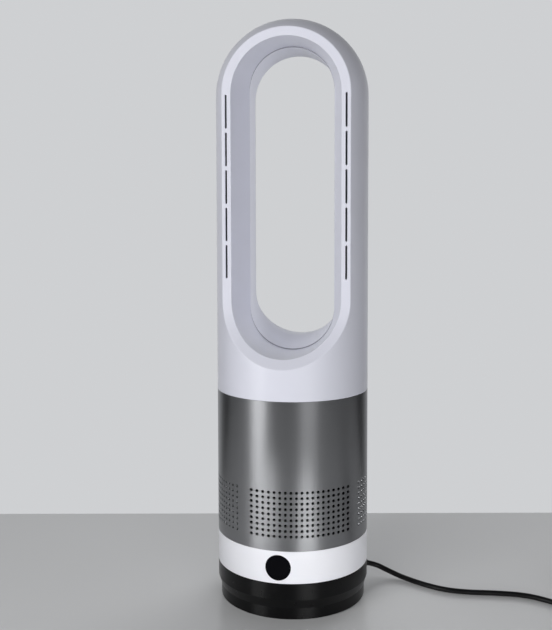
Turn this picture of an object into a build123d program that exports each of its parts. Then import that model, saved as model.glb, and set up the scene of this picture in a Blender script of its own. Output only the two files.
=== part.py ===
"""Bladeless tower fan, 24 inch class: turntable base, inlet body with blower, and an open air loop.

Millimetres, +Z up, front of the fan at -Y. The origin is on the floor, on the fan's axis.
One STEP file per physical piece goes to parts/.
"""

import os
from math import atan2, cos, degrees, pi, radians, sin, sqrt, tan

from build123d import *

os.makedirs("parts", exist_ok=True)

# Overall sizes
body_radius = 80.0
total_height = 609.0
base_top = 37.8
joint_gap = 0.4
band_bottom = base_top + joint_gap
band_top = 71.3
sleeve_top = 222.2
plastic_wall = 2.5
fit_gap = 0.2
press_gap = 0.05
edge_round = 0.4
rim_round = 1.2

# Base
foot_radius = 76.9
foot_top = 12.0
taper_top = 21.5
skirt_bottom = 0.4
plate_bottom = 1.5
pan_radius = 58.0
pan_floor = 23.5
post_radius = 12.0
post_bore = 8.0
post_top = 54.0
plate_top = 3.5
fixing_radius = 62.0
boss_radius = 4.5
screw_radius = 1.45

# Turning drive between base and tower
gear_module = 1.0
sun_teeth = 60
pinion_teeth = 12
pressure_angle = radians(25)
tooth_thinning = 0.12
gear_top = 31.0
drive_centre = gear_module * (sun_teeth + pinion_teeth) / 2
bush_radius = 13.5
hub_top = 50.0

# Tower inside
tray_bottom = band_bottom
tray_top = 41.2
bay_top = 71.0
deck_bottom = 134.0
deck_top = 136.5
shroud_radius = 60.0
shroud_top = 210.0
adapter_bottom = 213.0
adapter_top = 215.5
post_circle = 70.0
rod_circle = 71.0
spigot_radius = 77.9
spigot_inner = 76.4

# Display
display_radius = 13.0
display_height = 54.4
display_facing = Rot(0, 0, -2.2)

# Perforated sleeve
sleeve_wall = 2.0
hole_radius = 1.5
hole_rows = 9
row_pitch = 5.55
first_row = 86.4
panels = 4
panel_columns = 19
column_pitch = 5.475
panel_turn = 15.2
drill_start = 57.0
drill_end = 82.0

# Blower
blade_count = 9
vane_count = 11
hub_radius = 36.0
shaft_radius = 3.0
diffuser_top = 206.0
blade_gap = 0.8

# Air loop
dome_centre = total_height - body_radius
rim_depth = 45.7
lower_centre = 319.5
mouth_half = 56.5
throat_half = 45.0
throat_y = -3.0
throat_top = 536.5
throat_low = 307.5
outlet_half = 48.0
outlet_top = 530.5
seam_recess = 1.2
recess_depth = 9.0
slot_x = 61.4
slot_length = 34.2
slot_width = 2.0
slot_pitch = 38.1
slot_count = 5
first_slot = 358.6

# Mains lead
inner_lead_radius = 2.2
lead_height = 14.6
lead_top = 62.0
cord_radius = 2.75
cord_turns_in = 3
coil_outer = 42.0
coil_pitch = 6.0
tie_wall = 1.2
coil_centre = (327.0, 24.0)
coil_height = cord_radius + tie_wall + 0.1
relief_length = 20.0
relief_root = 5.2
relief_tip = 3.35
climb_room = coil_pitch / 2
plug_lead = 28.0
plug_height = 2 * (coil_height + coil_pitch)

# Route of the visible lead, from the strain relief to the coil
cord_route = [
    (77.1, 46.4, 15.6),
    (86.6, 52.1, 12.8),
    (97.8, 53.6, 8.2),
    (109.4, 50.8, 5.2),
    (121.0, 43.0, 3.5),
    (139.0, 28.0, 2.75),
    (161.0, 15.0, 2.75),
    (186.0, 14.0, 2.75),
    (216.0, 18.6, 2.75),
    (248.0, 19.2, 2.75),
    (273.0, 5.6, 2.75),
    (299.0, -18.0, coil_height),
    (coil_centre[0], coil_centre[1] - coil_outer, coil_height),
]

UP = (Align.CENTER, Align.CENTER, Align.MIN)


def disc(radius, low, high, at=(0, 0)):
    return Pos(at[0], at[1], low) * Cylinder(radius, high - low, align=UP)


def ring(outer, inner, low, high, at=(0, 0)):
    return disc(outer, low, high, at) - disc(inner, low - 1, high + 1, at)


def block(x0, x1, y0, y1, z0, z1):
    return Pos((x0 + x1) / 2, (y0 + y1) / 2, (z0 + z1) / 2) * Box(x1 - x0, y1 - y0, z1 - z0)


def turned(*points):
    # a closed outline of (radius, height) points, turned about the fan's axis
    return revolve(Plane.XZ * make_face(Polyline(*points, close=True)), Axis.Z)


def around(count, radius, start=0.0):
    # (x, y) places on a circle
    step = 360 / count
    angles = [radians(start + step * index) for index in range(count)]
    return [(radius * cos(angle), radius * sin(angle)) for angle in angles]


def group(shapes):
    return Compound(children=list(shapes))


def save(name, shape):
    export_step(shape, "parts/" + name + ".step")


def rounded(shape, radius, height, size=edge_round):
    # rounds a piece's circular edges of one radius at one height
    edges = [edge for edge in shape.edges() if edge.geom_type == GeomType.CIRCLE]
    edges = [edge for edge in edges if abs((edge @ 0.5).Z - height) < 0.01 and abs(edge.radius - radius) < 0.01]
    return fillet(edges, size)


def gear_outline(teeth, start):
    # involute teeth as short straight flanks, thinned a little for backlash
    pitch_radius = gear_module * teeth / 2
    base_radius = pitch_radius * cos(pressure_angle)
    root_radius = pitch_radius - 1.05 * gear_module
    tip_radius = pitch_radius + 0.8 * gear_module
    flank_start = max(base_radius, root_radius)
    half_tooth = pi / (2 * teeth) - tooth_thinning / (2 * pitch_radius)
    pitch_involute = tan(pressure_angle) - pressure_angle
    steps = 4
    flank = []
    for index in range(steps + 1):
        radius = flank_start + (tip_radius - flank_start) * index / steps
        roll = atan2(sqrt(max(radius**2 - base_radius**2, 0.0)), base_radius)
        flank.append((radius, half_tooth + pitch_involute - (tan(roll) - roll)))
    if root_radius < flank_start:
        flank.insert(0, (root_radius, flank[0][1]))
    points = []
    for tooth in range(teeth):
        middle = start + 2 * pi * tooth / teeth
        points += [(radius, middle - half) for radius, half in flank]
        points += [(radius, middle + half) for radius, half in reversed(flank)]
    return [(radius * cos(angle), radius * sin(angle)) for radius, angle in points]


def spur_gear(teeth, start, low, high):
    outline = make_face(Polyline(*gear_outline(teeth, start), close=True))
    return Pos(0, 0, low) * extrude(outline, high - low)


# ---- base ----


def relief_plane(distance):
    # square to the strain relief's axis, at a distance outwards from its tip
    tip = Vector(*cord_route[0])
    direction = (Vector(*cord_route[1]) - tip).normalized()
    return Plane(origin=tip + direction * distance, z_dir=direction)


def relief_cone(grow):
    place = Location(relief_plane(-relief_length))
    return place * Cone(relief_root + grow, relief_tip + grow, relief_length, align=UP)


def strain_relief():
    flange = Location(relief_plane(-relief_length)) * Cylinder(7.0, 2.4, align=UP)
    grooves = []
    for index in range(4):
        cutter = Cylinder(8.0, 0.9, align=UP) - Cylinder(3.1, 0.9, align=UP)
        grooves.append(Location(relief_plane(-9.4 + 2.2 * index)) * cutter)
    return relief_cone(0) + flange - grooves


def base_shell():
    wall = plastic_wall
    inner_taper = foot_top + 1.0
    shell = turned(
        (foot_radius, skirt_bottom),
        (foot_radius, foot_top),
        (body_radius, taper_top),
        (body_radius, base_top),
        (pan_radius, base_top),
        (pan_radius, pan_floor),
        (post_radius, pan_floor),
        (post_radius, post_top),
        (post_bore, post_top),
        (post_bore, pan_floor - wall),
        (pan_radius + wall, pan_floor - wall),
        (pan_radius + wall, base_top - wall),
        (body_radius - wall, base_top - wall),
        (body_radius - wall, taper_top + 1.0),
        (foot_radius - wall, inner_taper),
        (foot_radius - wall, skirt_bottom),
    )
    shell = rounded(shell, body_radius, base_top)
    shell = rounded(shell, foot_radius, skirt_bottom, 0.8)
    bosses = [disc(boss_radius, plate_top, pan_floor - 1, at) for at in around(4, fixing_radius, 45)]
    pilots = [disc(1.5, plate_top - 1, 16, at) for at in around(4, fixing_radius, 45)]
    slide_groove = ring(76.0, 70.0, base_top - 0.7, base_top + 1)
    clip_groove = ring(post_radius + 1, post_radius - 0.8, 51.6, 52.8)
    return shell + bosses - pilots - slide_groove - clip_groove - relief_cone(press_gap)


def base_plate():
    plate = disc(foot_radius - plastic_wall - fit_gap, plate_bottom, plate_top)
    foot_holes = [disc(4.0, 0, 5, at) for at in around(4, fixing_radius)]
    screw_holes = [disc(1.6, 0, 5, at) for at in around(4, fixing_radius, 45)]
    sinks = [disc(3.2, 0, plate_bottom + 0.9, at) for at in around(4, fixing_radius, 45)]
    rib = ring(15.0, 12.0, plate_top - 0.5, 5.0)
    return plate + rib - foot_holes - screw_holes - sinks


def rubber_feet():
    feet = []
    for at in around(4, fixing_radius):
        feet.append(disc(8.0, 0, plate_bottom, at) + disc(4.0 - press_gap, plate_bottom, 4.6, at))
    return group(feet)


def base_screws():
    screws = []
    for at in around(4, fixing_radius, 45):
        head = disc(3.0, plate_bottom + 0.1, plate_bottom + 0.9, at)
        screws.append(head + disc(screw_radius, plate_bottom + 0.9, 14.0, at))
    return group(screws)


def ballast_ring():
    return ring(52.0, 15.5, plate_top, 9.0)


def sun_gear():
    gear = spur_gear(sun_teeth, 0.0, pan_floor, gear_top)
    lightening = [disc(5.0, 0, 60, at) for at in around(6, 21.0, 30)]
    pocket = ring(27.0, 15.0, pan_floor + 3, gear_top + 1)
    return gear - disc(post_radius + press_gap, 0, 60) - pocket - lightening


def slide_ring():
    return ring(76.0 - press_gap, 70.0 + press_gap, base_top - 0.7, tray_bottom - 0.1)


def pivot_bush():
    return ring(bush_radius, post_radius + press_gap, gear_top, hub_top + 0.1)


def retaining_washer():
    return ring(19.0, post_radius + press_gap, hub_top + 0.3, 51.6)


def retaining_clip():
    clip = ring(15.5, post_radius - 0.75, 51.65, 52.75)
    mouth = block(-6, 6, 0, 20, 51, 54)
    return clip - mouth


def inner_lead():
    # from the strain relief, under the pan, and up through the hollow post
    start = relief_plane(-relief_length).origin
    bend = relief_plane(-relief_length - 5.0).origin
    outward = Vector(start.X, start.Y, 0).normalized()
    low = outward * 57.0 + Vector(0, 0, lead_height)
    corners = [start, bend, low, Vector(0, 0, lead_height), Vector(0, 0, lead_top)]
    return tube(FilletPolyline(*corners, radius=[8.0, 12.0, 6.0]), inner_lead_radius)


def tube(path, radius):
    start = Plane(origin=path @ 0, z_dir=path % 0)
    return sweep(start * Circle(radius), path=path)


# ---- lead outside the base ----


def run_radii(points):
    radii = []
    for before, here, after in zip(points, points[1:], points[2:]):
        first = Vector(*here) - Vector(*before)
        second = Vector(*after) - Vector(*here)
        turn = radians(first.get_angle(second))
        radii.append(0.45 * min(first.length, second.length) / tan(turn / 2))
    return radii


def cord_run():
    radii = run_radii(cord_route)
    print("cord run radii", [round(radius, 1) for radius in radii])
    path = FilletPolyline(*cord_route, radius=radii)
    solid = tube(path, cord_radius)
    print("cord run length", round(path.length, 1), "volume ratio",
          round(solid.volume / (pi * cord_radius**2 * path.length), 4))
    return solid


def coil_points():
    # ends of the half turns: in to the middle, up one layer, and out again
    points = []
    half_turns = 2 * cord_turns_in
    for index in range(2 * half_turns + 1):
        inward = min(index, half_turns + 1)
        outward = max(index - half_turns - 1, 0)
        radius = coil_outer - (inward - outward) * coil_pitch / 2
        if outward > 0:
            radius += climb_room
        side = -1 if index % 2 == 0 else 1
        height = coil_height + (coil_pitch if index > half_turns else 0)
        points.append(Vector(coil_centre[0], coil_centre[1] + side * radius, height))
    return points


def coil_path():
    points = coil_points()
    arcs = []
    heading = Vector(1, 0, 0)
    for start, end in zip(points, points[1:]):
        middle = (start + end) / 2
        arcs.append(ThreePointArc(start, middle + heading * (end - start).length / 2, end))
        heading = heading * -1
    tail_end = points[-1] + heading * plug_lead
    arcs.append(Line(points[-1], tail_end))
    return Wire([edge for arc in arcs for edge in arc.edges()]), tail_end


def least_gap(path):
    # the nearest that two stretches of the coil come, less one diameter
    count = 1600
    spots = [path.position_at(index / count) for index in range(count + 1)]
    apart = int(3 * 2 * cord_radius / path.length * count) + 1
    least = path.length
    for first in range(0, count + 1, 2):
        for second in range(first + apart, count + 1, 2):
            least = min(least, (spots[first] - spots[second]).length)
    return least - 2 * cord_radius


def cord_coil(path):
    print("coil length", round(path.length, 1), "least gap", round(least_gap(path), 2))
    solid = tube(path, cord_radius)
    print("coil volume ratio", round(solid.volume / (pi * cord_radius**2 * path.length), 4))
    return solid


def cord_tie():
    # a strap round the whole bundle
    inner_width = 3.7 * coil_pitch
    inner_height = 2 * coil_pitch
    middle = coil_outer - 1.9 * coil_pitch
    centre = (coil_centre[0] - middle, coil_centre[1], tie_wall + inner_height / 2)
    plane = Plane(origin=centre, x_dir=(1, 0, 0), z_dir=(0, 1, 0))
    outer = RectangleRounded(inner_width + 2 * tie_wall, inner_height + 2 * tie_wall, 3.4)
    inner = RectangleRounded(inner_width, inner_height, 2.2)
    return plane * extrude(outer - inner, 4.0, both=True)


def mains_plug(entry):
    # moulded two-pin plug, lying on the floor, its lead entering on the coil's level
    plane = Plane(origin=entry, x_dir=(0, 1, 0), z_dir=(1, 0, 0))
    sections = []
    for distance, width, height in ((0, 8.0, 8.0), (14, 11.0, 11.0), (20, 22.0, plug_height), (44, 25.0, plug_height)):
        face = RectangleRounded(width, height, min(width, height) * 0.3)
        sections.append(plane.offset(distance) * face)
    neck = loft(sections[:2], ruled=True)
    shoulder = loft(sections[1:3], ruled=True)
    body = loft(sections[2:], ruled=True)
    slots = []
    for side in (-1, 1):
        slots.append(blade(entry, side, press_gap))
    return neck + shoulder + body - slots


def blade(entry, side, grow):
    start = entry.X + 38.0
    end = start + 22.5
    middle = entry.Y + side * 6.35
    half_thick = 0.75 + grow
    half_high = 3.15 + grow
    return block(start - grow, end, middle - half_thick, middle + half_thick,
                 entry.Z - half_high, entry.Z + half_high)


def plug_blades(entry):
    return group(blade(entry, side, 0.0) for side in (-1, 1))


# ---- tower: tray, band and display ----


def tower_tray():
    profile = turned(
        (bush_radius + press_gap, tray_bottom),
        (75.5, tray_bottom),
        (75.5, 40.6),
        (77.4, 40.6),
        (77.4, 46.0),
        (75.2, 46.0),
        (75.2, tray_top),
        (18.5, tray_top),
        (18.5, hub_top),
        (bush_radius + press_gap, hub_top),
    )
    shaft_hole = disc(5.0, 0, 60, (drive_centre, 0))
    ear_holes = [disc(1.6, 0, 60, (drive_centre + 8, side * 17.5)) for side in (-1, 1)]
    stands = [disc(3.5, tray_top - 1, 50.0, at) for at in board_corners()]
    stand_holes = [disc(1.3, tray_top + 2, 51.0, at) for at in board_corners()]
    ribs = [block(20, 60, -1, 1, tray_top - 1, 44.0)]
    ribs = [Rot(0, 0, 45 + 90 * index) * rib for index in range(4) for rib in ribs]
    sockets = [disc(2.1, 0, 60, at) for at in around(4, post_circle, 45)]
    return profile + stands + ribs - shaft_hole - ear_holes - stand_holes - sockets


def board_corners():
    return [(x, y) for x in (-29, 29) for y in (29, 57)]


def control_band():
    ring_body = turned(
        (75.7, band_bottom),
        (body_radius, band_bottom),
        (body_radius, band_top),
        (spigot_radius, band_top),
        (spigot_radius, 79.0),
        (spigot_inner, 79.0),
        (spigot_inner, band_top - 2.0),
        (77.6, band_top - 4.0),
        (77.6, 40.4),
        (75.7, 40.4),
    )
    ring_body = rounded(ring_body, body_radius, band_bottom)
    ring_body = rounded(ring_body, body_radius, band_top)
    return ring_body - display_bore(display_radius + 0.1)


def display_bore(radius):
    place = Location(Plane(origin=(0, -60, display_height), z_dir=(0, -1, 0)))
    return display_facing * place * Cylinder(radius, 30, align=UP)


def display_window():
    return ring(body_radius, 78.0, 38, 72) & display_bore(display_radius)


def display_holder():
    frame = block(-17, 17, -77.4, -66.0, tray_top, 67.6)
    hollow = block(-14.5, 14.5, -80, -67.5, 44.0, 65.0)
    body = frame & disc(75.0, 40, 70)
    wire_slot = block(-5, 5, -70, -60, 44.0, 50.0)
    return display_facing * (body - hollow - wire_slot)


def display_board():
    return display_facing * block(-14.2, 14.2, -69.6, -68.0, 44.3, 64.7)


def digit_module():
    return display_facing * block(-10, 10, -75.4, -69.6, 52.0, 62.0)


def infrared_receiver():
    lens = Pos(6, -72.2, 47.6) * Sphere(2.2)
    return display_facing * (block(3.2, 8.8, -72.0, -69.6, 44.8, 50.4) + lens)


def touch_spring():
    turns = Helix(pitch=1.4, height=4.2, radius=2.4, center=(-6, -70.0, 48.4), direction=(0, -1, 0))
    start = Plane(origin=turns @ 0, z_dir=turns % 0)
    return display_facing * sweep(start * Circle(0.3), path=turns)


# ---- tower: electronics bay ----


def main_board():
    board = block(-33, 33, 25, 61, 50.0, 51.6)
    return board - [disc(1.6, 49, 53, at) for at in board_corners()]


def board_screws():
    screws = []
    for at in board_corners():
        screws.append(disc(2.6, 51.6, 53.2, at) + disc(1.25, 44.0, 51.6, at))
    return group(screws)


def board_capacitors():
    return group([disc(6.0, 51.6, 66.0, (-22, 36)), disc(4.0, 51.6, 62.0, (-10, 33))])


def board_transformer():
    core = block(4, 22, 32, 50, 51.6, 66.0)
    winding_window = block(0, 26, 36, 46, 54.0, 63.5)
    bobbin = block(7, 19, 35, 47, 53.0, 64.5)
    return core - winding_window + bobbin


def heat_sink():
    base = block(-26, -4, 50, 52, 51.6, 66.5)
    fins = [block(-26 + 4.0 * index, -24.8 + 4.0 * index, 51, 58, 51.6, 66.5) for index in range(6)]
    return base + fins


def swing_motor():
    centre = (drive_centre + 8, 0)
    can = disc(14.0, tray_top, 60.2, centre)
    ears = block(centre[0] - 3.5, centre[0] + 3.5, -17.5, 17.5, tray_top, tray_top + 1.0)
    tabs = [disc(3.5, tray_top, tray_top + 1.0, (centre[0], side * 17.5)) for side in (-1, 1)]
    holes = [disc(1.6, 0, 60, (centre[0], side * 17.5)) for side in (-1, 1)]
    socket = block(centre[0] + 12, centre[0] + 17, -7.5, 7.5, tray_top, 57.0)
    nose = ring(4.5, 2.55, 39.6, tray_top + 1, (drive_centre, 0))
    shaft_bore = disc(2.55, 39, 58.0, (drive_centre, 0))
    return can + ears + tabs + socket - holes - shaft_bore + nose


def swing_motor_screws():
    screws = []
    for side in (-1, 1):
        at = (drive_centre + 8, side * 17.5)
        screws.append(disc(2.8, 42.2, 43.8, at) + disc(1.5, 38.8, 42.2, at))
    return group(screws)


def swing_pinion():
    gear = Pos(drive_centre, 0, 0) * spur_gear(pinion_teeth, pi / pinion_teeth, 24.5, gear_top)
    shaft = disc(2.5, gear_top - 1, 57.0, (drive_centre, 0))
    return gear + shaft


def bay_cover():
    cover = disc(spigot_inner - fit_gap, bay_top - 2, bay_top)
    post_holes = [disc(4.2, 0, 90, at) for at in around(4, post_circle, 45)]
    wire_hole = disc(6.0, 0, 90, (0, 60))
    return cover - post_holes - wire_hole


def frame_posts():
    posts = []
    for at in around(4, post_circle, 45):
        posts.append(disc(4.0, tray_top, deck_bottom, at) + disc(2.0, tray_bottom + 1, tray_top, at))
    return group(posts)


# ---- tower: sleeve and blower ----


def perforated_sleeve():
    sleeve = ring(body_radius, body_radius - sleeve_wall, band_top + 0.05, sleeve_top - 0.05)
    # each panel's holes all point the same way, drilled square to the panel's middle
    drill = Rot(0, 90, 0) * Cylinder(hole_radius, drill_end - drill_start, align=UP)
    holes = []
    for panel in range(panels):
        facing = Rot(0, 0, -90 + panel_turn + 360 / panels * panel)
        for column in range(panel_columns):
            across = column_pitch * (column - (panel_columns - 1) / 2)
            for row in range(hole_rows):
                height = first_row + row_pitch * row
                holes.append(facing * Pos(drill_start, across, height) * drill)
    return sleeve - holes


def fan_deck():
    plate = ring(body_radius - sleeve_wall - fit_gap, 61.0, deck_bottom, deck_top)
    skirt = ring(body_radius - sleeve_wall - fit_gap, 76.5, deck_bottom, 146.0)
    return plate + skirt


def inlet_bell():
    lip = 8.0
    skin = 1.6
    centre = (60.0, deck_bottom + lip - skin)
    reach = lip * sin(pi / 4)
    inner_reach = (lip - skin) * sin(pi / 4)
    outline = [
        ThreePointArc((centre[0], centre[1] - lip), (centre[0] - reach, centre[1] - reach), (centre[0] - lip, centre[1])),
        Line((centre[0] - lip, centre[1]), (centre[0] - lip + skin, centre[1])),
        ThreePointArc((centre[0] - lip + skin, centre[1]), (centre[0] - inner_reach, centre[1] - inner_reach),
                      (centre[0], centre[1] - lip + skin)),
        Line((centre[0], centre[1] - lip + skin), (66.0, centre[1] - lip + skin)),
        Line((66.0, centre[1] - lip + skin), (66.0, centre[1] - lip)),
        Line((66.0, centre[1] - lip), (centre[0], centre[1] - lip)),
    ]
    return revolve(Plane.XZ * make_face(outline), Axis.Z)


def blower_shroud():
    return turned(
        (56.5, deck_top),
        (67.0, deck_top),
        (67.0, deck_top + 2.5),
        (58.8, deck_top + 2.5),
        (58.8, 141.0),
        (62.2, 170.0),
        (62.2, shroud_top - 2),
        (67.0, shroud_top - 2),
        (67.0, shroud_top),
        (shroud_radius, shroud_top),
        (shroud_radius, 170.0),
        (54.2, 141.2),
        (56.5, 140.8),
    )


def impeller():
    hub = turned(
        (shaft_radius + 0.02, 139.5),
        (12.0, 139.5),
        (18.0, 144.0),
        (30.0, 156.0),
        (hub_radius, 168.0),
        (hub_radius - 2, 168.0),
        (28.0, 157.5),
        (16.5, 146.5),
        (9.0, 143.5),
        (9.0, 152.0),
        (shaft_radius + 0.02, 152.0),
    )
    envelope = turned(
        (11.5, 141.0),
        (17.4, 145.4),
        (29.0, 157.0),
        (hub_radius - 1, 167.5),
        (shroud_radius - 1.3, 167.5),
        (54.9 - blade_gap, 144.0),
        (53.9 - blade_gap, 141.0),
    )
    plate = Pos(36, 0, 155) * Rot(38, 0, 0) * Box(60, 1.6, 40)
    blades = [Rot(0, 0, 360 / blade_count * index) * plate for index in range(blade_count)]
    return hub + [blade_plate & envelope for blade_plate in blades]


def impeller_nut():
    nut = extrude(Plane.XY.offset(135.5) * RegularPolygon(5.5, 6), 4.0)
    return nut - disc(shaft_radius + 0.02, 130, 145)


def motor_shaft():
    return disc(shaft_radius, 134.5, 204.0)


def motor_rotor():
    return ring(12.4, shaft_radius + 0.02, 179.0, 195.0)


def motor_stator():
    core = ring(19.7, 13.0, 180.0, 194.0)
    slots = [Rot(0, 0, 60 * index) * block(12, 17.4, -2, 2, 170, 200) for index in range(6)]
    return core - slots


def stator_coils():
    coil = block(13.4, 17.2, -1.8, 1.8, 178.0, 195.5)
    return group(Rot(0, 0, 60 * index) * coil for index in range(6))


def motor_can():
    can = turned(
        (8.1, 172.0),
        (10.0, 172.0),
        (10.0, 174.0),
        (21.0, 174.0),
        (21.0, 200.0),
        (19.8, 200.0),
        (19.8, 175.4),
        (10.0, 175.4),
        (10.0, 177.0),
        (8.1, 177.0),
    )
    return can


def motor_cap():
    return turned(
        (8.1, 197.0),
        (10.0, 197.0),
        (10.0, 200.0),
        (21.0, 200.0),
        (21.0, 201.4),
        (10.0, 201.4),
        (10.0, 202.0),
        (8.1, 202.0),
    )


def motor_bearings():
    lower = ring(8.05, shaft_radius + 0.04, 172.4, 176.8)
    upper = ring(8.05, shaft_radius + 0.04, 197.2, 201.6)
    return group([lower, upper])


def motor_mount_ring():
    mount = ring(24.95, 21.05, 181.0, 191.0)
    slots = [Rot(0, 0, 30 * index) * block(22.2, 23.8, -2.5, 2.5, 183, 195) for index in range(12)]
    return mount - slots


def diffuser():
    outer = ring(shroud_radius - press_gap, 58.4, 174.0, diffuser_top)
    cup = ring(37.0, 35.0, 171.0, diffuser_top)
    seat = ring(27.0, 25.0, 180.0, 192.0)
    spokes = [Rot(0, 0, 120 * index) * block(26.5, 35.5, -1.5, 1.5, 182, 190) for index in range(3)]
    vane = Pos(48, 0, 189) * Rot(-32, 0, 0) * Box(30, 1.8, 40)
    span = ring(59.0, 36.0, 176.0, 202.0)
    vanes = [Rot(0, 0, 360 / vane_count * index) * vane & span for index in range(vane_count)]
    return outer + cup + seat + spokes + vanes


def tail_cone():
    # a spherical cap over the diffuser's cup
    base_radius = 37.0
    rise = 20.0
    sphere_radius = (base_radius**2 + rise**2) / (2 * rise)
    centre = Pos(0, 0, diffuser_top + rise - sphere_radius)
    skin = centre * Sphere(sphere_radius) - centre * Sphere(sphere_radius - 1.8)
    return skin & disc(base_radius + 2, diffuser_top, diffuser_top + rise + 1)


def upper_rods():
    return group(disc(3.0, deck_top, adapter_bottom, at) for at in around(4, rod_circle, 45))


def duct_seal():
    return ring(66.0, 60.5, shroud_top, adapter_bottom)


def duct_adapter():
    plate = ring(spigot_inner - fit_gap, 58.0, adapter_bottom, adapter_top)
    return plate - [disc(1.7, 200, 230, at) for at in loop_fixings()]


def loop_fixings():
    return around(4, rod_circle, 22.5)


def adapter_screws():
    screws = []
    for at in loop_fixings():
        screws.append(disc(3.0, 211.4, adapter_bottom, at) + disc(screw_radius, adapter_bottom, 225.0, at))
    return group(screws)


# ---- air loop ----


def capsule(radius, low):
    return disc(radius, low, dome_centre) + Pos(0, 0, dome_centre) * Sphere(radius)


def beyond_rim(side, inset):
    # all that lies in front of (side -1) or behind (side 1) the rim; below the loop's lower
    # centre the rim's face bends out until it meets the round body
    reach = 75.0
    steps = 5
    curve = []
    for index in range(steps + 1):
        drop = reach * index / steps
        curve.append((side * (sqrt(rim_depth**2 + drop**2) - inset), lower_centre - drop))
    end_slope = (side * reach / sqrt(rim_depth**2 + reach**2), -1)
    far = side * 120.0
    high = total_height + 20
    outline = [
        Spline(*curve, tangents=((0, -1), end_slope)),
        Line(curve[-1], (far, curve[-1][1])),
        Line((far, curve[-1][1]), (far, high)),
        Line((far, high), (curve[0][0], high)),
        Line((curve[0][0], high), curve[0]),
    ]
    return extrude(Plane.YZ * make_face(outline), body_radius + 10, both=True)


def opening_face(y, half_width, low, high):
    plane = Plane(origin=(0, y, 0), x_dir=(1, 0, 0), z_dir=(0, -1, 0))
    outline = [
        Line((half_width, low), (half_width, high)),
        ThreePointArc((half_width, high), (0, high + half_width), (-half_width, high)),
        Line((-half_width, high), (-half_width, low)),
        ThreePointArc((-half_width, low), (0, low - half_width), (half_width, low)),
    ]
    return plane * make_face(outline)


def tunnel_front(grow):
    mouth = opening_face(-rim_depth, mouth_half + grow, lower_centre, dome_centre)
    throat = opening_face(throat_y, throat_half + grow, throat_low, throat_top)
    funnel = loft([mouth, throat], ruled=True)
    ahead = extrude(mouth, 60, dir=(0, -1, 0))
    return ahead + funnel


def tunnel_rear(grow):
    throat = opening_face(throat_y, throat_half + grow, throat_low + seam_recess, throat_top - seam_recess)
    outlet = opening_face(rim_depth, outlet_half + grow, lower_centre, outlet_top)
    widening = loft([throat, outlet], ruled=True)
    behind = extrude(outlet, 60, dir=(0, 1, 0))
    return widening + behind


def seam_pocket():
    # a narrow recess that runs round the upper and lower bends of the throat
    low = throat_low - seam_recess
    high = throat_top + seam_recess
    outer = extrude(opening_face(throat_y, throat_half, low, high), recess_depth, dir=(0, 1, 0))
    inner_low = throat_low + 0.2
    inner_high = throat_top - 0.2
    inner = extrude(opening_face(throat_y, throat_half + 0.6, inner_low, inner_high), recess_depth, dir=(0, 1, 0))
    return outer - inner


def loop_hollow():
    hollow = capsule(body_radius - plastic_wall, sleeve_top - 20)
    hollow -= beyond_rim(-1, plastic_wall)
    hollow -= beyond_rim(1, plastic_wall)
    hollow -= tunnel_front(plastic_wall)
    return hollow - tunnel_rear(plastic_wall)


def loop_body():
    body = capsule(body_radius, sleeve_top)
    body -= beyond_rim(-1, 0)
    body -= beyond_rim(1, 0)
    body = fillet(rim_edges(body), rim_round)
    body = rounded(body, body_radius, sleeve_top)
    body -= loop_hollow()
    body -= tunnel_front(0)
    body -= tunnel_rear(0)
    body += ring(spigot_radius, spigot_inner, adapter_bottom, sleeve_top + plastic_wall)
    for x, y in loop_fixings():
        body += loop_boss(x, y)
    return body


def rim_edges(body):
    # the outer edges of the front and rear rims
    edges = []
    for edge in body.edges():
        middle = edge @ 0.5
        if edge.length > 5 and middle.Z > sleeve_top + 1 and abs(middle.Y) > rim_depth / 2:
            edges.append(edge)
    return edges


def loop_boss(x, y):
    angle = degrees(atan2(y, x))
    web = Rot(0, 0, angle) * block(rod_circle, 78.0, -1.5, 1.5, adapter_top, 232.0)
    boss = disc(4.0, adapter_top, 232.0, (x, y)) + web
    return boss - disc(1.5, 200, 228.0, (x, y))


def rim_slots():
    slot = SlotOverall(slot_length, slot_width, rotation=90)
    cutters = []
    for side in (-1, 1):
        for index in range(slot_count):
            height = first_slot + slot_pitch * index
            plane = Plane(origin=(side * slot_x, -rim_depth - 2, height), x_dir=(1, 0, 0), z_dir=(0, 1, 0))
            cutters.append(extrude(plane * slot, plastic_wall + 4))
    return cutters


def half_space(side):
    # everything on one side of the seam between the two shells
    y_near = throat_y
    y_far = throat_y + side * 200
    return block(-100, 100, min(y_near, y_far), max(y_near, y_far), 200, 620)


def loop_front_shell(body):
    return body & half_space(-1)


def loop_rear_shell(body):
    return (body & half_space(1)) - seam_pocket()


def slot_nozzles():
    # dark guides behind the slots, one channel for each side
    low = first_slot - slot_length / 2 - 2
    high = first_slot + slot_pitch * (slot_count - 1) + slot_length / 2 + 2
    front = -rim_depth + plastic_wall + 0.1
    channels = []
    for side in (-1, 1):
        outer = block(side * slot_x - 1.9, side * slot_x + 1.9, front, front + 7, low, high)
        inner = block(side * slot_x - 1.1, side * slot_x + 1.1, front - 1, front + 8, low + 0.8, high - 0.8)
        channels.append(outer - inner)
    return group(channels)


# ---- write every piece ----

coil_line, plug_entry = coil_path()
loop = loop_body()
front_half = loop_front_shell(loop) - rim_slots()

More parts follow.
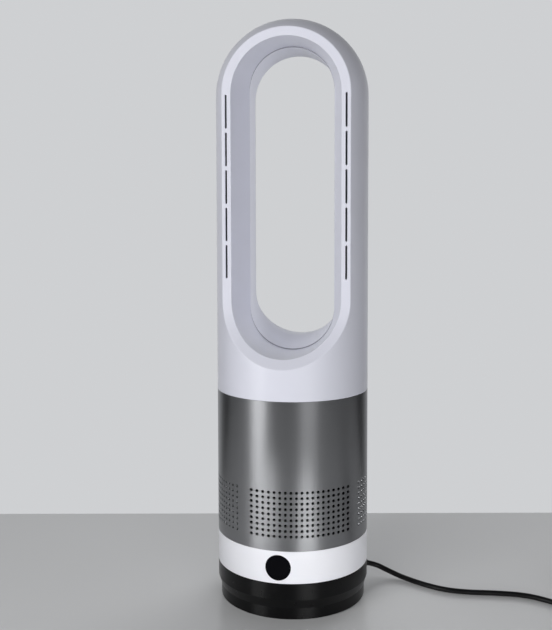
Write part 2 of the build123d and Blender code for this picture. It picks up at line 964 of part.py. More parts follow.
pieces = {
    "base_shell": base_shell(),
    "base_plate": base_plate(),
    "rubber_feet": rubber_feet(),
    "base_screws": base_screws(),
    "ballast_ring": ballast_ring(),
    "sun_gear": sun_gear(),
    "slide_ring": slide_ring(),
    "pivot_bush": pivot_bush(),
    "retaining_washer": retaining_washer(),
    "retaining_clip": retaining_clip(),
    "inner_lead": inner_lead(),
    "strain_relief": strain_relief(),
    "cord_run": cord_run(),
    "cord_coil": cord_coil(coil_line),
    "cord_tie": cord_tie(),
    "mains_plug": mains_plug(plug_entry),
    "plug_blades": plug_blades(plug_entry),
    "tower_tray": tower_tray(),
    "control_band": control_band(),
    "display_window": display_window(),
    "display_holder": display_holder(),
    "display_board": display_board(),
    "digit_module": digit_module(),
    "infrared_receiver": infrared_receiver(),
    "touch_spring": touch_spring(),
    "main_board": main_board(),
    "board_screws": board_screws(),
    "board_capacitors": board_capacitors(),
    "board_transformer": board_transformer(),
    "heat_sink": heat_sink(),
    "swing_motor": swing_motor(),
    "swing_motor_screws": swing_motor_screws(),
    "swing_pinion": swing_pinion(),
    "bay_cover": bay_cover(),
    "frame_posts": frame_posts(),
    "perforated_sleeve": perforated_sleeve(),
    "fan_deck": fan_deck(),
    "inlet_bell": inlet_bell(),
    "blower_shroud": blower_shroud(),
    "impeller": impeller(),
    "impeller_nut": impeller_nut(),
    "motor_shaft": motor_shaft(),
    "motor_rotor": motor_rotor(),
    "motor_stator": motor_stator(),
    "stator_coils": stator_coils(),
    "motor_can": motor_can(),
    "motor_cap": motor_cap(),
    "motor_bearings": motor_bearings(),
    "motor_mount_ring": motor_mount_ring(),
    "diffuser": diffuser(),
    "tail_cone": tail_cone(),
    "upper_rods": upper_rods(),
    "duct_seal": duct_seal(),
    "duct_adapter": duct_adapter(),
    "adapter_screws": adapter_screws(),
    "loop_front_shell": front_half,
    "loop_rear_shell": loop_rear_shell(loop),
    "slot_nozzles": slot_nozzles(),
}

for name, shape in pieces.items():
    save(name, shape)
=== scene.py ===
from math import cos, pi, radians, sin

import bmesh
import bpy
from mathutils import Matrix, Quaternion, Vector


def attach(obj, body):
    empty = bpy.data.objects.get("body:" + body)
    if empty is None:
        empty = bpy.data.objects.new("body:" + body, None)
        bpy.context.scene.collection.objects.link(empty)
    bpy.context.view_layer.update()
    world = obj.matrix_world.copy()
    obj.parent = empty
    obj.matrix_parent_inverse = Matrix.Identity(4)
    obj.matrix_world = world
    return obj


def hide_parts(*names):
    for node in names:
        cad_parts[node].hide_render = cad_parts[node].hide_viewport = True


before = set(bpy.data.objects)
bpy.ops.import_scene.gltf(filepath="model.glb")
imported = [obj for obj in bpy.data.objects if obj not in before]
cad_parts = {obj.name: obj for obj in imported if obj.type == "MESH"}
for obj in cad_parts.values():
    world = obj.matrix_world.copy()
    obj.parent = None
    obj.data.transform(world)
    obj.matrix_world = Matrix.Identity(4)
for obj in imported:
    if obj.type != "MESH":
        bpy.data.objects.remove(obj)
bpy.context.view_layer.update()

# Bladeless fan on its black base, in metres, its front towards -Y

view = {
    "place": (0.1461, -0.9710, 0.4178),   # the eye, a little right of the fan's front
    "looking": (-0.1657, 0.9839, -0.0664),
    "lens": 52.9,                         # mm, as the sensor
    "sensor": 36.0,
    "shiftX": -0.0004,
    "shiftY": -0.079,
    "roll": -0.13,                        # degrees, the fan leans a hair to the left in the view
}

mixSockets = {"amount": 0, "first": 6, "second": 7, "result": 2}    # of a Mix node that mixes colours


def newPiece(name, data, body, nodes=()):
    piece = bpy.data.objects.new(name, data)
    bpy.context.scene.collection.objects.link(piece)
    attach(piece, body)
    if nodes:
        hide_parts(*nodes)
    return piece


def setCamera():
    data = bpy.data.cameras.new("photoView")
    data.lens = view["lens"]
    data.sensor_width = view["sensor"]
    data.shift_x = view["shiftX"]
    data.shift_y = view["shiftY"]
    camera = bpy.data.objects.new("photoView", data)
    camera.location = view["place"]
    camera.rotation_mode = "QUATERNION"
    lean = Quaternion((0, 0, 1), radians(view["roll"]))
    camera.rotation_quaternion = Vector(view["looking"]).to_track_quat("-Z", "Y") @ lean
    bpy.context.scene.collection.objects.link(camera)
    bpy.context.scene.camera = camera


lead = {
    "diameter": 0.0055,
    "length": 1.481,
    "route": [                            # from the strain relief down to the floor and on to the coil
        (0.0771, 0.0464, 0.0156),
        (0.0866, 0.0512, 0.0125),
        (0.0978, 0.0507, 0.0076),
        (0.1094, 0.0464, 0.0044),
        (0.1210, 0.0396, 0.0030),
        (0.1390, 0.0280, 0.00275),
        (0.1610, 0.0168, 0.00275),
        (0.1860, 0.0138, 0.00275),
        (0.2160, 0.0168, 0.00275),
        (0.2480, 0.0162, 0.00275),
        (0.2730, 0.0040, 0.00275),
        (0.2990, -0.0180, 0.00405),
    ],
    "coilCentre": (0.327, 0.024),
    "coilRadius": 0.042,                  # of the outermost turn's middle line
    "turnsIn": 3,                         # as many come out again, one layer up
    "pitch": 0.006,                       # from one turn to the next, sideways and up
    "layHeight": 0.00405,                 # the lower layer's middle line, which lies on the tie
    "stepsPerHalf": 8,                    # control points in half a turn
    "tail": 0.028,                        # the straight end that runs into the plug
    "tailSteps": (0.0, 0.5, 1.0),
    "sides": 5,                           # how finely the tube is rounded
    "smoothness": 8,
}


def coilEnds():
    # where each half turn starts and ends: in to the middle, one layer up, and out again
    halves = 2 * lead["turnsIn"]
    step = lead["pitch"] / 2
    ends = []
    for index in range(2 * halves + 1):
        inward = min(index, halves + 1)
        outward = max(index - halves - 1, 0)
        radius = lead["coilRadius"] - (inward - outward) * step
        if outward > 0:
            radius += step
        side = -1 if index % 2 == 0 else 1
        height = lead["layHeight"] + (lead["pitch"] if index > halves else 0)
        ends.append((lead["coilCentre"][1] + side * radius, height))
    return ends


def coilPoints():
    ends = coilEnds()
    centreX = lead["coilCentre"][0]
    steps = lead["stepsPerHalf"]
    spread = 1 / cos(pi / steps / 2)      # so that the curve itself has the coil's radius
    points = []
    for index, ((startY, startZ), (endY, endZ)) in enumerate(zip(ends, ends[1:])):
        middle = (startY + endY) / 2
        radius = abs(endY - startY) / 2 * spread
        begin = -pi / 2 if index % 2 == 0 else pi / 2
        for step in range(steps):
            turn = pi * (step + 0.5) / steps
            angle = begin + turn
            height = startZ + (endZ - startZ) * (1 - cos(turn)) / 2
            points.append((centreX + radius * cos(angle), middle + radius * sin(angle), height))
    lastY, lastZ = ends[-1]
    for along in lead["tailSteps"]:
        points.append((centreX + along * lead["tail"], lastY, lastZ))
    return points


def layLead():
    curve = bpy.data.curves.new("mainsLead", "CURVE")
    curve.dimensions = "3D"
    curve.bevel_depth = 1.0               # each point's radius gives the real thickness
    curve.bevel_resolution = lead["sides"]
    curve.resolution_u = lead["smoothness"]
    curve.use_fill_caps = True
    spline = curve.splines.new("NURBS")
    points = lead["route"] + coilPoints()
    spline.points.add(len(points) - 1)
    for point, place in zip(spline.points, points):
        point.co = (*place, 1.0)
        point.radius = lead["diameter"] / 2
    spline.order_u = 3
    spline.use_endpoint_u = True
    piece = newPiece("mainsLead", curve, "base", ["cord_run", "cord_coil"])
    piece.data.materials.append(cordSheath())


screen = {                                # the dark dust screen that stands behind the sleeve's holes
    "radius": 0.0750,
    "thick": 0.0004,
    "bottom": 0.0712,
    "top": 0.1339,
    "segments": 180,
    "rings": 12,
}


def makeScreen():
    height = screen["top"] - screen["bottom"]
    middle = (screen["top"] + screen["bottom"]) / 2
    tube = bmesh.new()
    bmesh.ops.create_cone(tube, cap_ends=False, segments=screen["segments"], depth=height,
                          radius1=screen["radius"], radius2=screen["radius"])
    upright = [edge for edge in tube.edges if edge.calc_length() > height / 2]
    bmesh.ops.subdivide_edges(tube, edges=upright, cuts=screen["rings"])
    bmesh.ops.translate(tube, verts=tube.verts, vec=(0, 0, middle))
    mesh = bpy.data.meshes.new("dustScreen")
    tube.to_mesh(mesh)
    tube.free()
    mesh.shade_smooth()
    mesh.materials.append(screenCloth())
    piece = newPiece("dustScreen", mesh, "tower")
    wall = piece.modifiers.new("wall", "SOLIDIFY")
    wall.thickness = screen["thick"]
    wall.offset = 0.0


pattern = {                               # how every finish reads its noise
    "detail": 3.0,
    "low": 0.3,                           # noise at or below this counts as none
    "high": 0.7,                          # and at or above this as full
}


class Recipe:
    # a node tree for one finish, built from a Principled shader outwards

    def __init__(self, name, colour, roughness, metallic=0.0):
        self.material = bpy.data.materials.new(name)
        self.material.use_nodes = True
        self.material.diffuse_color = (*colour, 1.0)
        self.nodes = self.material.node_tree.nodes
        self.links = self.material.node_tree.links
        self.shader = self.nodes["Principled BSDF"]
        self.space = self.nodes.new("ShaderNodeTexCoord")
        self.colour = colour
        self.roughness = roughness
        self.put("Base Color", (*colour, 1.0))
        self.put("Roughness", roughness)
        self.put("Metallic", metallic)

    def put(self, socket, value):
        self.shader.inputs[socket].default_value = value

    def noise(self, scale, detail=pattern["detail"], stretch=(1, 1, 1)):
        mapping = self.nodes.new("ShaderNodeMapping")
        mapping.inputs["Scale"].default_value = stretch
        self.links.new(self.space.outputs["Object"], mapping.inputs["Vector"])
        texture = self.nodes.new("ShaderNodeTexNoise")
        texture.inputs["Scale"].default_value = scale
        texture.inputs["Detail"].default_value = detail
        self.links.new(mapping.outputs["Vector"], texture.inputs["Vector"])
        return texture.outputs["Fac"]

    def spread(self, source, least, most):
        # stretches a noise over the range from least to most
        ramp = self.nodes.new("ShaderNodeMapRange")
        ramp.inputs["From Min"].default_value = pattern["low"]
        ramp.inputs["From Max"].default_value = pattern["high"]
        ramp.inputs["To Min"].default_value = least
        ramp.inputs["To Max"].default_value = most
        self.links.new(source, ramp.inputs["Value"])
        return ramp.outputs["Result"]

    def colourMix(self, amount, second):
        mix = self.nodes.new("ShaderNodeMix")
        mix.data_type = "RGBA"
        mix.inputs[mixSockets["second"]].default_value = (*second, 1.0)
        self.links.new(amount, mix.inputs[mixSockets["amount"]])
        return mix

    def shade(self, source, other):
        # blends the base colour towards another one where the noise is high
        mix = self.colourMix(self.spread(source, 0.0, 1.0), other)
        mix.inputs[mixSockets["first"]].default_value = (*self.colour, 1.0)
        self.links.new(mix.outputs[mixSockets["result"]], self.shader.inputs["Base Color"])

    def test(self, operation, source, *values):
        # one where the source passes, nought elsewhere
        check = self.nodes.new("ShaderNodeMath")
        check.operation = operation
        for index, value in enumerate(values, start=1):
            check.inputs[index].default_value = value
        self.links.new(source, check.inputs[0])
        return check.outputs[0]

    def depthOf(self, output):
        # how far back an object coordinate lies or a normal points
        parts = self.nodes.new("ShaderNodeSeparateXYZ")
        self.links.new(self.space.outputs[output], parts.inputs[0])
        return parts.outputs["Y"]

    def paintSeamShadow(self, seam):
        # a painted shadow line on what faces forward beside the plane where two shells meet
        near = self.test("COMPARE", self.depthOf("Object"), seam["plane"], seam["reach"])
        forward = self.test("LESS_THAN", self.depthOf("Normal"), seam["facing"])
        both = self.nodes.new("ShaderNodeMath")
        both.operation = "MULTIPLY"
        self.links.new(near, both.inputs[0])
        self.links.new(forward, both.inputs[1])
        mix = self.colourMix(both.outputs[0], seam["colour"])
        plain = self.shader.inputs["Base Color"].links[0].from_socket
        self.links.new(plain, mix.inputs[mixSockets["first"]])
        self.links.new(mix.outputs[mixSockets["result"]], self.shader.inputs["Base Color"])

    def sheen(self, source, change):
        # lets the roughness wander either side of its middle value
        wander = self.spread(source, self.roughness - change, self.roughness + change)
        self.links.new(wander, self.shader.inputs["Roughness"])

    def roundGrain(self, strength):
        # the finest scratches run round the upright axis, which draws reflections out up and down
        self.put("Anisotropic", strength)
        self.put("Anisotropic Rotation", 0.25)    # a quarter turn, from along the axis to round it
        way = self.nodes.new("ShaderNodeTangent")
        way.direction_type = "RADIAL"
        way.axis = "Z"
        self.links.new(way.outputs["Tangent"], self.shader.inputs["Tangent"])

    def relief(self, source, depth, softEdge=None):
        bump = self.nodes.new("ShaderNodeBump")
        bump.inputs["Distance"].default_value = depth
        self.links.new(source, bump.inputs["Height"])
        if softEdge:
            soft = self.nodes.new("ShaderNodeBevel")
            soft.samples = softEdge["samples"]
            soft.inputs["Radius"].default_value = softEdge["radius"]
            self.links.new(soft.outputs["Normal"], bump.inputs["Normal"])
        self.links.new(bump.outputs["Normal"], self.shader.inputs["Normal"])


loopLook = {
    "colour": (0.80, 0.81, 0.905),        # white with a breath of lilac
    "clouds": (0.785, 0.795, 0.885),
    "cloudScale": 14.0,
    "roughness": 0.34,
    "coat": 0.25,
    "coatRoughness": 0.22,
    "sheenScale": 60.0,
    "sheenChange": 0.04,
    "grainScale": 1400.0,
    "grainDetail": 2.0,
    "grainDepth": 0.000015,
    "seam": {                             # a painted shadow line where the front and rear shells meet in the throat
        "plane": -0.003,                  # its Y
        "reach": 0.0022,
        "facing": -0.7,                   # the normal's Y, only below this
        # the painted shadow's colour
        "colour": (0.36, 0.36, 0.40),
    },
}


def loopWhite():
    recipe = Recipe("loopWhite", loopLook["colour"], loopLook["roughness"])
    recipe.put("Coat Weight", loopLook["coat"])
    recipe.put("Coat Roughness", loopLook["coatRoughness"])
    recipe.shade(recipe.noise(loopLook["cloudScale"]), loopLook["clouds"])
    recipe.paintSeamShadow(loopLook["seam"])
    recipe.sheen(recipe.noise(loopLook["sheenScale"]), loopLook["sheenChange"])
    recipe.relief(recipe.noise(loopLook["grainScale"], loopLook["grainDetail"]), loopLook["grainDepth"])
    return recipe.material


bandLook = {
    "colour": (0.86, 0.865, 0.915),
    "clouds": (0.853, 0.858, 0.908),
    "cloudScale": 20.0,
    "roughness": 0.30,
    "coat": 0.2,
    "sheenScale": 80.0,
    "sheenChange": 0.015,
    "grainScale": 1400.0,
    "grainDetail": 2.0,
    "grainDepth": 0.000012,
}


def bandWhite():
    recipe = Recipe("bandWhite", bandLook["colour"], bandLook["roughness"])
    recipe.put("Coat Weight", bandLook["coat"])
    recipe.shade(recipe.noise(bandLook["cloudScale"]), bandLook["clouds"])
    recipe.sheen(recipe.noise(bandLook["sheenScale"]), bandLook["sheenChange"])
    recipe.relief(recipe.noise(bandLook["grainScale"], bandLook["grainDetail"]), bandLook["grainDepth"])
    return recipe.material


baseLook = {
    "colour": (0.0015, 0.0015, 0.0018),
    "clouds": (0.0022, 0.0022, 0.0025),
    "cloudScale": 25.0,
    "roughness": 0.30,
    "gloss": 0.27,
    "roundGrain": 0.85,
    "sheenScale": 120.0,
    "sheenChange": 0.03,
    "grainScale": 1200.0,
    "grainDetail": 2.0,
    "grainDepth": 0.00001,
    "softEdge": {"radius": 0.0005, "samples": 6},
}


def baseBlack():
    recipe = Recipe("baseBlack", baseLook["colour"], baseLook["roughness"])
    recipe.put("Specular IOR Level", baseLook["gloss"])
    recipe.roundGrain(baseLook["roundGrain"])
    recipe.shade(recipe.noise(baseLook["cloudScale"]), baseLook["clouds"])
    recipe.sheen(recipe.noise(baseLook["sheenScale"]), baseLook["sheenChange"])
    grain = recipe.noise(baseLook["grainScale"], baseLook["grainDetail"])
    recipe.relief(grain, baseLook["grainDepth"], baseLook["softEdge"])
    return recipe.material


windowLook = {
    "colour": (0.0010, 0.0010, 0.0020),
    "clouds": (0.0016, 0.0016, 0.0028),
    "cloudScale": 30.0,
    "roughness": 0.06,
    "gloss": 0.12,
    "sheenScale": 90.0,
    "sheenChange": 0.02,
}


def windowBlack():
    recipe = Recipe("windowBlack", windowLook["colour"], windowLook["roughness"])
    recipe.put("Specular IOR Level", windowLook["gloss"])
    recipe.shade(recipe.noise(windowLook["cloudScale"]), windowLook["clouds"])
    recipe.sheen(recipe.noise(windowLook["sheenScale"]), windowLook["sheenChange"])
    return recipe.material


sleeveLook = {                            # satin aluminium
    "colour": (0.395, 0.40, 0.415),
    "clouds": (0.385, 0.39, 0.403),
    "cloudScale": 18.0,
    "cloudDetail": 2.0,
    "roughness": 0.37,
    "roundGrain": 0.6,
    "grainScale": 700.0,
    "grainDetail": 2.0,
    "grainStretch": (0.06, 0.06, 1),      # drawn out sideways
    "sheenChange": 0.02,
}


def sleeveSilver():
    recipe = Recipe("sleeveSilver", sleeveLook["colour"], sleeveLook["roughness"], metallic=1.0)
    recipe.roundGrain(sleeveLook["roundGrain"])
    grain = recipe.noise(sleeveLook["grainScale"], sleeveLook["grainDetail"], sleeveLook["grainStretch"])
    recipe.shade(recipe.noise(sleeveLook["cloudScale"], sleeveLook["cloudDetail"]), sleeveLook["clouds"])
    recipe.sheen(grain, sleeveLook["sheenChange"])
    return recipe.material


plasticLook = {
    "lighter": 1.15,                      # the clouds, next to the colour
    "cloudScale": 50.0,
    "sheenScale": 200.0,
    "sheenChange": 0.06,
    "grainScale": 900.0,
    "grainDetail": 2.0,
    "grainDepth": 0.00003,
}

leastLight = 0.004                        # what clouds on black add at the least


def mouldedPlastic(name, colour, roughness):
    recipe = Recipe(name, colour, roughness)
    clouds = [min(1.0, channel * plasticLook["lighter"] + leastLight) for channel in colour]
    recipe.shade(recipe.noise(plasticLook["cloudScale"]), clouds)
    recipe.sheen(recipe.noise(plasticLook["sheenScale"]), plasticLook["sheenChange"])
    grain = recipe.noise(plasticLook["grainScale"], plasticLook["grainDetail"])
    recipe.relief(grain, plasticLook["grainDepth"])
    return recipe.material


rubberLook = {
    "roughness": 0.72,
    "lighter": 1.3,
    "cloudScale": 120.0,
    "sheenScale": 60.0,
    "sheenChange": 0.08,
    "grainScale": 1500.0,
    "grainDepth": 0.00004,
}


def softRubber(name, colour):
    recipe = Recipe(name, colour, rubberLook["roughness"])
    clouds = [channel * rubberLook["lighter"] + leastLight for channel in colour]
    recipe.shade(recipe.noise(rubberLook["cloudScale"]), clouds)
    recipe.sheen(recipe.noise(rubberLook["sheenScale"]), rubberLook["sheenChange"])
    recipe.relief(recipe.noise(rubberLook["grainScale"]), rubberLook["grainDepth"])
    return recipe.material


sheathLook = {
    "colour": (0.0035, 0.0035, 0.0038),
    "clouds": (0.006, 0.006, 0.0065),
    "cloudScale": 200.0,
    "roughness": 0.42,
    "gloss": 0.4,
    "sheenScale": 90.0,
    "sheenChange": 0.07,
    "grainScale": 1600.0,
    "grainDetail": 2.0,
    "grainDepth": 0.00003,
}


def cordSheath():
    recipe = Recipe("cordSheath", sheathLook["colour"], sheathLook["roughness"])
    recipe.put("Specular IOR Level", sheathLook["gloss"])
    recipe.shade(recipe.noise(sheathLook["cloudScale"]), sheathLook["clouds"])
    recipe.sheen(recipe.noise(sheathLook["sheenScale"]), sheathLook["sheenChange"])
    grain = recipe.noise(sheathLook["grainScale"], sheathLook["grainDetail"])
    recipe.relief(grain, sheathLook["grainDepth"])
    return recipe.material


clothLook = {
    "colour": (0.008, 0.008, 0.009),
    "threads": (0.013, 0.013, 0.014),
    "roughness": 0.8,
    "weaveScale": 900.0,
    "weaveDetail": 1.0,
    "weaveStretch": (1, 1, 0.3),
    "weaveDepth": 0.00008,
    "sheenScale": 150.0,
    "sheenChange": 0.06,
}


def screenCloth():
    recipe = Recipe("screenCloth", clothLook["colour"], clothLook["roughness"])
    weave = recipe.noise(clothLook["weaveScale"], clothLook["weaveDetail"], clothLook["weaveStretch"])
    recipe.shade(weave, clothLook["threads"])
    recipe.sheen(recipe.noise(clothLook["sheenScale"]), clothLook["sheenChange"])
    recipe.relief(weave, clothLook["weaveDepth"])
    return recipe.material


metalLook = {
    "darker": 0.85,                       # the clouds, next to the colour
    "cloudScale": 60.0,
    "grainDetail": 4.0,
    "sheenChange": 0.07,
}


def metalPart(name, colour, roughness, grainScale=500.0, grainDepth=0.00001):
    recipe = Recipe(name, colour, roughness, metallic=1.0)
    grain = recipe.noise(grainScale, metalLook["grainDetail"])
    clouds = [channel * metalLook["darker"] for channel in colour]
    recipe.shade(recipe.noise(metalLook["cloudScale"]), clouds)
    recipe.sheen(grain, metalLook["sheenChange"])
    recipe.relief(grain, grainDepth)
    return recipe.material


boardLook = {
    "colour": (0.015, 0.11, 0.045),
    "tracks": (0.03, 0.17, 0.07),
    "trackScale": 350.0,
    "trackDetail": 1.0,
    "trackStretch": (1, 0.2, 1),
    "roughness": 0.38,
    "sheenScale": 400.0,
    "sheenChange": 0.08,
    "grainScale": 700.0,
    "grainDepth": 0.00003,
}


def circuitGreen():
    recipe = Recipe("circuitGreen", boardLook["colour"], boardLook["roughness"])
    tracks = recipe.noise(boardLook["trackScale"], boardLook["trackDetail"], boardLook["trackStretch"])
    recipe.shade(tracks, boardLook["tracks"])
    recipe.sheen(recipe.noise(boardLook["sheenScale"]), boardLook["sheenChange"])
    recipe.relief(recipe.noise(boardLook["grainScale"]), boardLook["grainDepth"])
    return recipe.material


copperLook = {
    "colour": (0.62, 0.27, 0.12),
    "gaps": (0.42, 0.16, 0.07),
    "roughness": 0.34,
    "wireScale": 700.0,
    "wireDetail": 1.0,
    "wireStretch": (0.1, 0.1, 3),
    "wireDepth": 0.0001,
    "sheenChange": 0.08,
}


def woundCopper():
    recipe = Recipe("woundCopper", copperLook["colour"], copperLook["roughness"], metallic=1.0)
    wires = recipe.noise(copperLook["wireScale"], copperLook["wireDetail"], copperLook["wireStretch"])
    recipe.shade(wires, copperLook["gaps"])
    recipe.sheen(wires, copperLook["sheenChange"])
    recipe.relief(wires, copperLook["wireDepth"])
    return recipe.material


finishes = {                              # nodes, and the finish that they share
    "loop_front_shell loop_rear_shell": loopWhite,
    "control_band": bandWhite,
    "base_shell": baseBlack,
    "display_window": windowBlack,
    "perforated_sleeve": sleeveSilver,
    "display_board main_board": circuitGreen,
    "stator_coils": woundCopper,
    "mains_plug inner_lead": cordSheath,
    "base_plate tower_tray display_holder bay_cover fan_deck inlet_bell blower_shroud duct_adapter"
    " slot_nozzles cord_tie":
        lambda: mouldedPlastic("darkPlastic", (0.022, 0.022, 0.024), 0.5),
    "impeller diffuser tail_cone":
        lambda: mouldedPlastic("greyPlastic", (0.16, 0.165, 0.17), 0.45),
    "sun_gear slide_ring pivot_bush swing_pinion":
        lambda: mouldedPlastic("naturalAcetal", (0.72, 0.71, 0.66), 0.35),
    "digit_module infrared_receiver board_capacitors":
        lambda: mouldedPlastic("partBlack", (0.018, 0.018, 0.02), 0.32),
    "rubber_feet strain_relief motor_mount_ring duct_seal":
        lambda: softRubber("blackRubber", (0.012, 0.012, 0.012)),
    "base_screws retaining_washer retaining_clip touch_spring board_screws swing_motor_screws"
    " motor_bearings adapter_screws impeller_nut motor_shaft":
        lambda: metalPart("zincSteel", (0.46, 0.46, 0.47), 0.32),
    "frame_posts upper_rods heat_sink":
        lambda: metalPart("blackenedMetal", (0.035, 0.035, 0.038), 0.45),
    "swing_motor motor_can motor_cap":
        lambda: metalPart("plainAlloy", (0.55, 0.56, 0.57), 0.36),
    "ballast_ring board_transformer motor_stator motor_rotor":
        lambda: metalPart("castIron", (0.13, 0.13, 0.135), 0.55, grainScale=300.0, grainDepth=0.0001),
    "plug_blades":
        lambda: metalPart("bladeBrass", (0.72, 0.60, 0.36), 0.22),
}


def dressNodes():
    for names, make in finishes.items():
        material = make()
        for name in names.split():
            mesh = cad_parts[name].data
            mesh.materials.clear()
            mesh.materials.append(material)


def larger(nodes, links, first, second):
    most = nodes.new("ShaderNodeMath")
    most.operation = "MAXIMUM"
    links.new(first, most.inputs[0])
    links.new(second, most.inputs[1])
    return most.outputs[0]


def rayMix(nodes, links, seen, other):
    # one shader for what the eye, gloss and glass see, another for the rest
    path = nodes.new("ShaderNodeLightPath")
    glossOrEye = larger(nodes, links, path.outputs["Is Camera Ray"], path.outputs["Is Glossy Ray"])
    anySeen = larger(nodes, links, glossOrEye, path.outputs["Is Transmission Ray"])
    mix = nodes.new("ShaderNodeMixShader")
    links.new(anySeen, mix.inputs[0])
    links.new(other, mix.inputs[1])
    links.new(seen, mix.inputs[2])
    return mix.outputs[0]


backdrop = {
    "colour": (0.62, 0.63, 0.645),        # what the eye sees all round, and gloss behind the fan
    "surround": (0.018, 0.018, 0.019),    # what gloss sees at the sides and in front
    "towards": (-0.20, 0.98, 0.0),        # the way to the middle of what gloss sees
    "softLight": (1.00, 1.01, 1.03),      # the soft light from behind and above
    "softSurround": (0.004, 0.004, 0.004),
    "softTowards": (0.0, 0.85, 0.53),     # the way to the middle of the soft light
    "fadeFrom": 0.56,                     # how nearly a ray points that way where the surround ends
    "fadeTo": 1.05,                       # and where the middle's colour would be full
}


def fadeAlong(nodes, links, towards):
    place = nodes.new("ShaderNodeTexCoord")
    along = nodes.new("ShaderNodeVectorMath")
    along.operation = "DOT_PRODUCT"
    along.inputs[1].default_value = towards
    links.new(place.outputs["Generated"], along.inputs[0])
    fade = nodes.new("ShaderNodeMapRange")
    fade.interpolation_type = "SMOOTHSTEP"
    fade.inputs["From Min"].default_value = backdrop["fadeFrom"]
    fade.inputs["From Max"].default_value = backdrop["fadeTo"]
    links.new(along.outputs["Value"], fade.inputs["Value"])
    return fade.outputs["Result"]


def blended(nodes, links, amount, outer, inner):
    tint = nodes.new("ShaderNodeMix")
    tint.data_type = "RGBA"
    tint.inputs[mixSockets["first"]].default_value = (*outer, 1.0)
    tint.inputs[mixSockets["second"]].default_value = (*inner, 1.0)
    links.new(amount, tint.inputs[mixSockets["amount"]])
    shade = nodes.new("ShaderNodeBackground")
    links.new(tint.outputs[mixSockets["result"]], shade.inputs["Color"])
    return shade.outputs[0]


def setSurround():
    world = bpy.data.worlds.new("studio")
    bpy.context.scene.world = world
    world.use_nodes = True
    nodes = world.node_tree.nodes
    links = world.node_tree.links
    nodes.clear()
    output = nodes.new("ShaderNodeOutputWorld")
    path = nodes.new("ShaderNodeLightPath")
    behind = fadeAlong(nodes, links, backdrop["towards"])
    pale = larger(nodes, links, behind, path.outputs["Is Camera Ray"])
    seen = blended(nodes, links, pale, backdrop["surround"], backdrop["colour"])
    above = fadeAlong(nodes, links, backdrop["softTowards"])
    soft = blended(nodes, links, above, backdrop["softSurround"], backdrop["softLight"])
    links.new(rayMix(nodes, links, seen, soft), output.inputs["Surface"])


floorLook = {
    "wide": 2.4,
    "deep": 1.15,                         # it ends short of the strips, so that neither glares on it
    "back": 0.245,                        # where it ends behind the fan
    "turn": 9.56,                         # degrees, so that its back edge runs level in the view
    "colour": (0.68, 0.685, 0.69),
    "roughness": 0.20,
    "glow": 0.05,
}


def layFloor():
    turn = radians(floorLook["turn"])
    middle = floorLook["back"] - floorLook["deep"] / 2
    place = (-sin(turn) * middle, cos(turn) * middle, 0)
    bpy.ops.mesh.primitive_plane_add(size=1, location=place, rotation=(0, 0, turn))
    floor = bpy.context.object
    floor.scale = (floorLook["wide"], floorLook["deep"], 1)
    floor.name = "paleFloor"
    material = bpy.data.materials.new("paleFloor")
    material.use_nodes = True
    nodes = material.node_tree.nodes
    links = material.node_tree.links
    nodes.clear()
    output = nodes.new("ShaderNodeOutputMaterial")
    matt = nodes.new("ShaderNodeBsdfPrincipled")
    matt.inputs["Base Color"].default_value = (*floorLook["colour"], 1.0)
    matt.inputs["Roughness"].default_value = floorLook["roughness"]
    glow = nodes.new("ShaderNodeEmission")
    glow.inputs["Color"].default_value = (*backdrop["colour"], 1.0)
    glow.inputs["Strength"].default_value = floorLook["glow"]
    both = nodes.new("ShaderNodeAddShader")
    links.new(matt.outputs[0], both.inputs[0])
    links.new(glow.outputs[0], both.inputs[1])
    links.new(rayMix(nodes, links, both.outputs[0], matt.outputs[0]), output.inputs["Surface"])
    floor.data.materials.append(material)


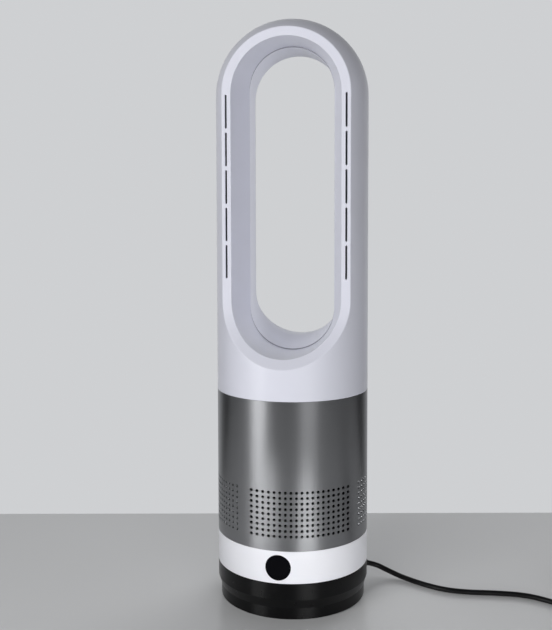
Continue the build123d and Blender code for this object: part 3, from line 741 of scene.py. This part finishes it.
lamps = {                                 # soft lights that all face the fan's upright axis
    "leftStrip": {
        "turn": -42, "away": 1.35, "height": 0.34,    # degrees from the front, then metres
        "wide": 0.50, "tall": 0.90, "power": 4.3,     # metres and watts
        "beam": 180, "inGloss": True,                 # degrees, and whether gloss shows the lamp
    },
    "rightStrip": {
        "turn": 31, "away": 1.35, "height": 0.34,
        "wide": 0.55, "tall": 0.90, "power": 1.35,
        "beam": 180, "inGloss": True,
    },
    "rightGlint": {                       # two narrow beams along the floor light the sleeve's foot
        "turn": 29, "away": 0.42, "height": 0.05,
        "wide": 0.22, "tall": 0.04, "power": 0.017,
        "beam": 40, "inGloss": True,
    },
    "leftGlint": {
        "turn": -24, "away": 0.42, "height": 0.09,
        "wide": 0.36, "tall": 0.03, "power": 0.0125,
        "beam": 30, "inGloss": True,
    },
    "highFill": {
        "turn": -24, "away": 1.40, "height": 0.95,
        "wide": 1.00, "tall": 0.50, "power": 9.5,
        "beam": 180, "inGloss": False,
    },
    "lowFill": {
        "turn": 28, "away": 1.30, "height": 0.16,
        "wide": 1.00, "tall": 0.30, "power": 5.6,
        "beam": 180, "inGloss": False,
    },
    "backFill": {
        "turn": 160, "away": 1.50, "height": 0.50,
        "wide": 1.00, "tall": 0.80, "power": 8.0,
        "beam": 180, "inGloss": False,
    },
}


def setLamps():
    for name, lamp in lamps.items():
        data = bpy.data.lights.new(name, "AREA")
        data.shape = "RECTANGLE"
        data.size = lamp["wide"]
        data.size_y = lamp["tall"]
        data.energy = lamp["power"]
        data.spread = radians(lamp["beam"])
        turn = radians(lamp["turn"])
        place = Vector((sin(turn) * lamp["away"], -cos(turn) * lamp["away"], lamp["height"]))
        facing = Vector((0, 0, lamp["height"])) - place
        light = bpy.data.objects.new(name, data)
        light.visible_camera = False
        light.visible_glossy = lamp["inGloss"]
        light.location = place
        light.rotation_mode = "QUATERNION"
        light.rotation_quaternion = facing.to_track_quat("-Z", "Y")
        bpy.context.scene.collection.objects.link(light)


setCamera()
print("camera set")
layLead()
print("lead laid")
makeScreen()
print("dust screen in place")
dressNodes()
print("finishes on every node")
setSurround()
layFloor()
setLamps()
print("studio ready")

bpy.context.scene.view_settings.view_transform = "Standard"
